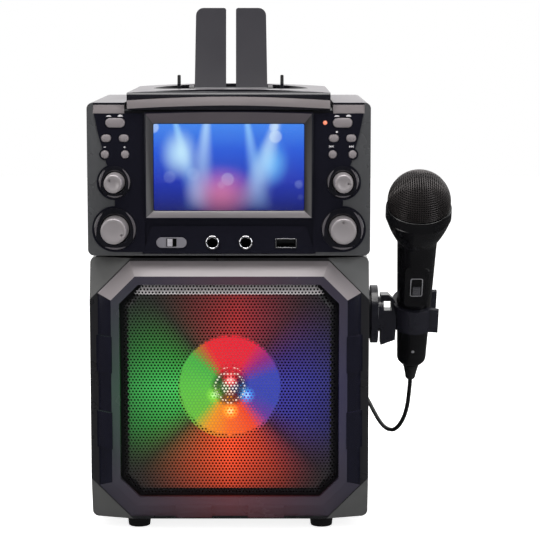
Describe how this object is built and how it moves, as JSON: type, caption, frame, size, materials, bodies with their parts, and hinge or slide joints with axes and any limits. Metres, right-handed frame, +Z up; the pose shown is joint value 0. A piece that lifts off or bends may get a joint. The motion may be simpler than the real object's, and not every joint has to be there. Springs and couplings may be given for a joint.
{
  "type": "portable karaoke disc player",
  "caption": "Upright cabinet with a woofer and lights, a screen head with knobs and buttons, a top-loading disc drive under a hinged lid, a tablet cradle and a clipped wired microphone.",
  "frame": {"origin": "on the floor under the middle of the cabinet, halfway between its front frame and its back cover", "axes": "+X to the right as seen from the front, +Y to the back, +Z up; the front faces -Y"},
  "size_m": [0.241, 0.2234, 0.35],
  "materials": {
    "cabinet_black": "semi-gloss moulded, fine texture",
    "cheek_graphite": "graphite gloss",
    "frame_slate": "slate satin gloss",
    "grille_black": "black powder coat, perforated",
    "fascia_gloss": "piano black",
    "lcd": "lit display",
    "window": "clear",
    "deck_black": "satin",
    "lid_gloss": "glossy with a grey lip",
    "steel": "plain",
    "cradle_satin": "charcoal satin",
    "zinc": "zinc plated",
    "acetal": "natural",
    "trim_silver": "silver paint",
    "lamp": "clear red lens",
    "chrome": "bright",
    "board": "solder mask",
    "battery": "shrink film",
    "basket": "black paint",
    "cone": "translucent light paper",
    "rubber": "matte",
    "foot_rubber": "glossy black",
    "black_steel": "black zinc",
    "socket_black": "matte",
    "holder_black": "satin",
    "mic_black": "satin gloss",
    "mic_mesh": "black wire mesh",
    "lead": "flexible PVC",
    "plug": "nickel with a black barrel",
    "knob_silver": "silver satin",
    "button_grey": "grey satin"
  },
  "bodies": {
    "cabinet": {"lower_cabinet": "cabinet_black", "front_frame": "frame_slate", "speaker_grille": "grille_black", "upper_housing": "cheek_graphite", "control_fascia": "fascia_gloss", "screen_bezel": "fascia_gloss", "lcd_panel": "lcd", "screen_window": "window", "back_cover": "cabinet_black", "top_deck": "deck_black", "lid_hinge_pin": "steel", "spindle_motor": "steel", "drive_chassis": "zinc", "dial_rings": "fascia_gloss", "volume_controls": "zinc", "slider_trim": "trim_silver", "status_lamp": "lamp", "mic_jacks": "chrome", "usb_port": "chrome", "control_board": "board", "main_board": "board", "battery_pack": "battery", "woofer_frame": "basket", "woofer_surround": "rubber", "lamp_bracket": "deck_black", "feet": "foot_rubber", "case_screws": "black_steel", "rear_jacks": "socket_black", "cord_hook": "deck_black", "holder_base": "holder_black", "mic_lead_behind": "lead", "mic_lead_coil": "lead", "mic_plug": "plug"},
    "lid": {"disc_lid": "lid_gloss"},
    "cradle": {"tablet_cradle": "cradle_satin"},
    "hub": {"disc_hub": "deck_black"},
    "sled": {"pickup_sled": "deck_black"},
    "gear": {"sled_gear": "acetal"},
    "slider": {"function_slider": "button_grey"},
    "cone": {"woofer_cone": "cone"},
    "clip": {"mic_clip": "holder_black"},
    "microphone": {"mic_handle": "mic_black", "mic_grille": "mic_mesh", "strain_relief": "rubber", "mic_lead_hanging": "lead"},
    "mic_slider": {"mic_switch": "mic_black"},
    "echo_knob": {"echo_knob": "knob_silver"},
    "mic_volume_knob": {"mic_volume_knob": "knob_silver"},
    "balance_knob": {"balance_knob": "knob_silver"},
    "master_volume_knob": {"master_volume_knob": "knob_silver"},
    "power_button": {"power_button": "button_grey"},
    "lights_button": {"lights_button": "button_grey"},
    "button_l1": {"button_l1": "button_grey"},
    "button_l2": {"button_l2": "button_grey"},
    "button_l3": {"button_l3": "button_grey"},
    "button_l4": {"button_l4": "button_grey"},
    "button_r1": {"button_r1": "button_grey"},
    "button_r2": {"button_r2": "button_grey"},
    "button_r3": {"button_r3": "button_grey"},
    "button_r4": {"button_r4": "button_grey"}
  },
  "joints": [
    {"name": "lid_hinge", "type": "hinge", "parent": "cabinet", "child": "lid", "pos_m": [0, 0.067, 0.2872], "axis": [-1, 0, 0], "range_deg": [0, 75]},
    {"name": "cradle_fold", "type": "hinge", "parent": "lid", "child": "cradle", "pos_m": [0, 0.008, 0.2939], "axis": [1, 0, 0], "range_deg": [0, 97]},
    {"name": "hub_spin", "type": "hinge", "parent": "cabinet", "child": "hub", "pos_m": [0, -0.003, 0.28], "axis": [0, 0, 1], "continuous": true},
    {"name": "sled_slide", "type": "slide", "parent": "cabinet", "child": "sled", "axis": [1, 0, 0], "range_m": [0, 0.03]},
    {"name": "gear_turn", "type": "hinge", "parent": "cabinet", "child": "gear", "pos_m": [0.036, 0.0198, 0.2683], "axis": [0, 0, 1], "range_deg": [-3, 362]},
    {"name": "echo_turn", "type": "hinge", "parent": "cabinet", "child": "echo_knob", "pos_m": [-0.0749, -0.08, 0.236], "axis": [0, -1, 0], "range_deg": [-195, 105]},
    {"name": "mic_volume_turn", "type": "hinge", "parent": "cabinet", "child": "mic_volume_knob", "pos_m": [-0.0749, -0.08, 0.205], "axis": [0, -1, 0], "range_deg": [-35, 265]},
    {"name": "balance_turn", "type": "hinge", "parent": "cabinet", "child": "balance_knob", "pos_m": [0.0749, -0.08, 0.236], "axis": [0, -1, 0], "range_deg": [-60, 240]},
    {"name": "master_volume_turn", "type": "hinge", "parent": "cabinet", "child": "master_volume_knob", "pos_m": [0.0749, -0.08, 0.205], "axis": [0, -1, 0], "range_deg": [-150, 150]},
    {"name": "power_button_press", "type": "slide", "parent": "cabinet", "child": "power_button", "axis": [0, 1, 0], "range_m": [0, 0.0012], "stiffness_N_per_m": 400, "springref_m": -0.0005},
    {"name": "lights_button_press", "type": "slide", "parent": "cabinet", "child": "lights_button", "axis": [0, 1, 0], "range_m": [0, 0.0012], "stiffness_N_per_m": 400, "springref_m": -0.0005},
    {"name": "button_l1_press", "type": "slide", "parent": "cabinet", "child": "button_l1", "axis": [0, 1, 0], "range_m": [0, 0.0012], "stiffness_N_per_m": 400, "springref_m": -0.0005},
    {"name": "button_l2_press", "type": "slide", "parent": "cabinet", "child": "button_l2", "axis": [0, 1, 0], "range_m": [0, 0.0012], "stiffness_N_per_m": 400, "springref_m": -0.0005},
    {"name": "button_l3_press", "type": "slide", "parent": "cabinet", "child": "button_l3", "axis": [0, 1, 0], "range_m": [0, 0.0012], "stiffness_N_per_m": 400, "springref_m": -0.0005},
    {"name": "button_l4_press", "type": "slide", "parent": "cabinet", "child": "button_l4", "axis": [0, 1, 0], "range_m": [0, 0.0012], "stiffness_N_per_m": 400, "springref_m": -0.0005},
    {"name": "button_r1_press", "type": "slide", "parent": "cabinet", "child": "button_r1", "axis": [0, 1, 0], "range_m": [0, 0.0012], "stiffness_N_per_m": 400, "springref_m": -0.0005},
    {"name": "button_r2_press", "type": "slide", "parent": "cabinet", "child": "button_r2", "axis": [0, 1, 0], "range_m": [0, 0.0012], "stiffness_N_per_m": 400, "springref_m": -0.0005},
    {"name": "button_r3_press", "type": "slide", "parent": "cabinet", "child": "button_r3", "axis": [0, 1, 0], "range_m": [0, 0.0012], "stiffness_N_per_m": 400, "springref_m": -0.0005},
    {"name": "button_r4_press", "type": "slide", "parent": "cabinet", "child": "button_r4", "axis": [0, 1, 0], "range_m": [0, 0.0012], "stiffness_N_per_m": 400, "springref_m": -0.0005},
    {"name": "function_slide", "type": "slide", "parent": "cabinet", "child": "slider", "axis": [1, 0, 0], "range_m": [-0.0007, 0.0027]},
    {"name": "cone_travel", "type": "slide", "parent": "cabinet", "child": "cone", "axis": [0, 1, 0], "range_m": [-0.0015, 0.0015], "stiffness_N_per_m": 1500},
    {"name": "clip_swivel", "type": "hinge", "parent": "cabinet", "child": "clip", "pos_m": [0.097, -0.0181, 0.1406], "axis": [1, 0, 0], "range_deg": [-28, 30], "deforming": ["mic_lead_hanging"]},
    {"name": "mic_lift", "type": "slide", "parent": "clip", "child": "microphone", "axis": [0, -0.4695, 0.8829], "range_m": [0, 0.11]},
    {"name": "mic_switch_slide", "type": "slide", "parent": "microphone", "child": "mic_slider", "axis": [0, -0.4695, 0.8829], "range_m": [0, 0.005]}
  ],
  "couplings": [
    {"joint": "gear_turn", "follows": "sled_slide", "rad_per_m": 208.33}
  ]
}
